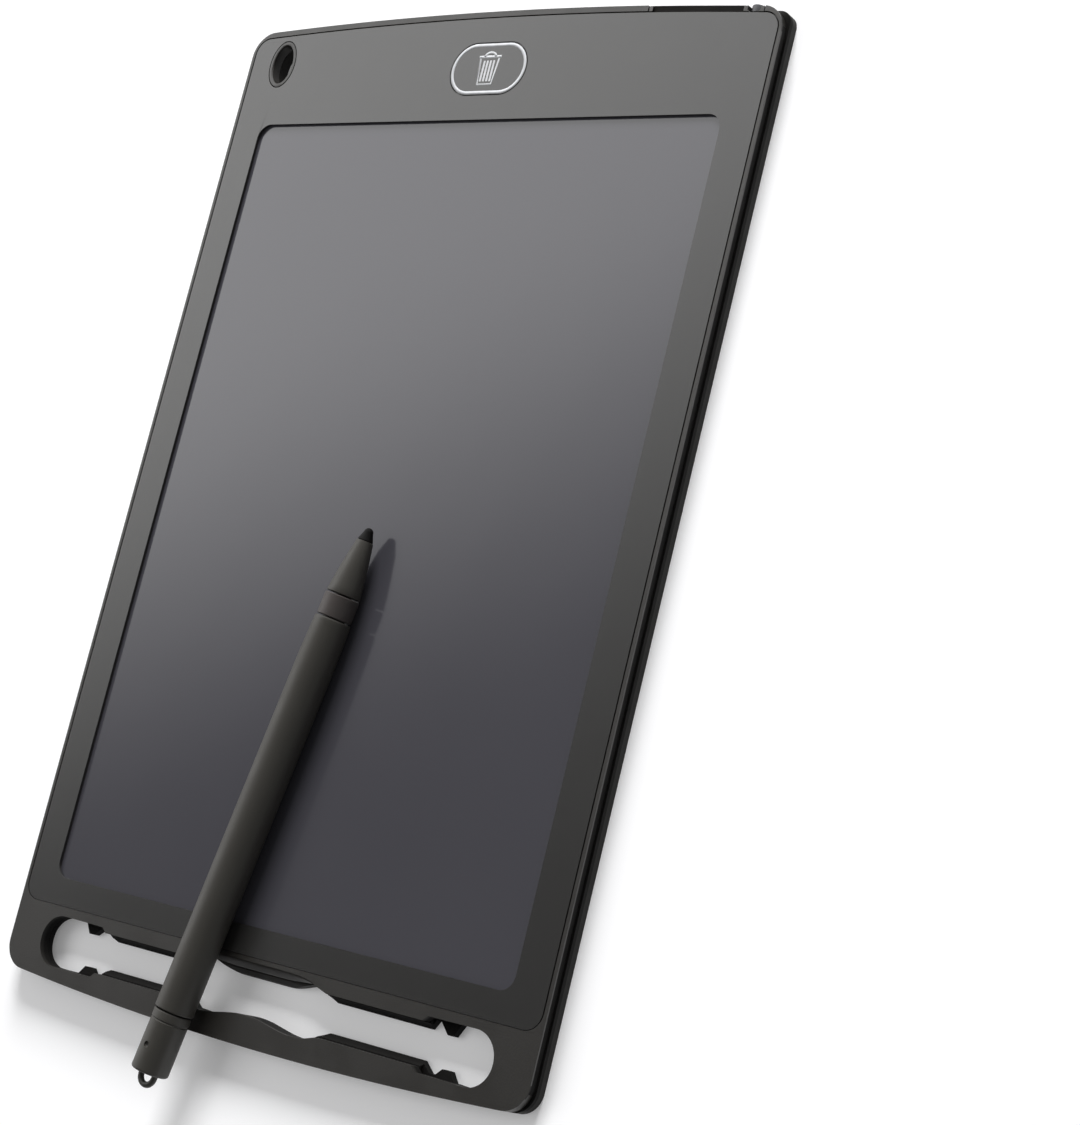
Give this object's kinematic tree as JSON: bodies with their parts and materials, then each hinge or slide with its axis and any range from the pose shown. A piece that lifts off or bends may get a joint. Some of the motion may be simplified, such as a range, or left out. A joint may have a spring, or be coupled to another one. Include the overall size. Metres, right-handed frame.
{
  "type": "lcd writing tablet with stylus",
  "caption": "Flat LCD writing tablet with a satin bezel, erase key, lanyard hole, slide-out coin cell tray and open pen bay, its round stylus lying across the lower half.",
  "frame": {"origin": "centre of the rear cover's flat back face, midway between the long sides and between the crowns of the two ends", "axes": "+X to the right of someone reading the screen, +Y to the end with the erase key, +Z out of the screen; the tablet lies on its back on Z = 0"},
  "size_m": [0.1444, 0.2369, 0.0139],
  "materials": {
    "shell": "fine matte grain",
    "faceplate": "satin",
    "screen": "glossy",
    "backing": "matte film",
    "tape": "matte foam tape",
    "board": "solder mask",
    "switch": "matte",
    "plunger": "satin",
    "resin": "moulded resin",
    "ceramic": "ceramic",
    "ferrite": "matte ferrite",
    "connector": "satin",
    "film": "film",
    "spring": "nickelled",
    "can": "bright",
    "screw": "grey",
    "stylus": "satin",
    "nib": "satin"
  },
  "bodies": {
    "tablet": {"rear_cover": "shell", "front_frame": "shell", "faceplate": "faceplate", "lcd_panel": "screen", "panel_backing": "backing", "adhesive_frame": "tape", "circuit_board": "board", "switch_body": "switch", "driver_chip": "resin", "capacitor_1": "ceramic", "capacitor_2": "ceramic", "boost_coil": "ferrite", "flex_tail": "film", "flex_connector": "connector", "contact_positive": "spring", "contact_negative": "spring"},
    "key": {"erase_key": "faceplate"},
    "plunger": {"switch_plunger": "plunger"},
    "tray": {"battery_tray": "shell", "coin_cell": "can"},
    "screw": {"tray_screw": "screw"},
    "stylus": {"stylus_nib": "nib", "stylus_nose": "stylus", "stylus_collar": "stylus", "stylus_barrel": "stylus", "stylus_tail_cap": "stylus"}
  },
  "joints": [
    {"name": "key_press", "type": "slide", "parent": "tablet", "child": "key", "axis": [0, 0, -1], "range_m": [0, 0.0003], "stiffness_N_per_m": 600, "springref_m": -0.0005},
    {"name": "plunger_press", "type": "slide", "parent": "tablet", "child": "plunger", "axis": [0, 0, -1], "range_m": [0, 0.0003]},
    {"name": "tray_pull", "type": "slide", "parent": "tablet", "child": "tray", "axis": [0, 1, 0], "range_m": [0, 0.026]},
    {"name": "screw_turn", "type": "hinge", "parent": "tray", "child": "screw", "pos_m": [0.0645, 0.1085, 0.0032], "axis": [0, 1, 0], "continuous": true},
    {"name": "stylus_lift", "type": "slide", "parent": "tablet", "child": "stylus", "axis": [0, 0, 1], "range_m": [0, 0.06]}
  ],
  "couplings": [
    {"joint": "plunger_press", "follows": "key_press", "ratio": 1}
  ]
}
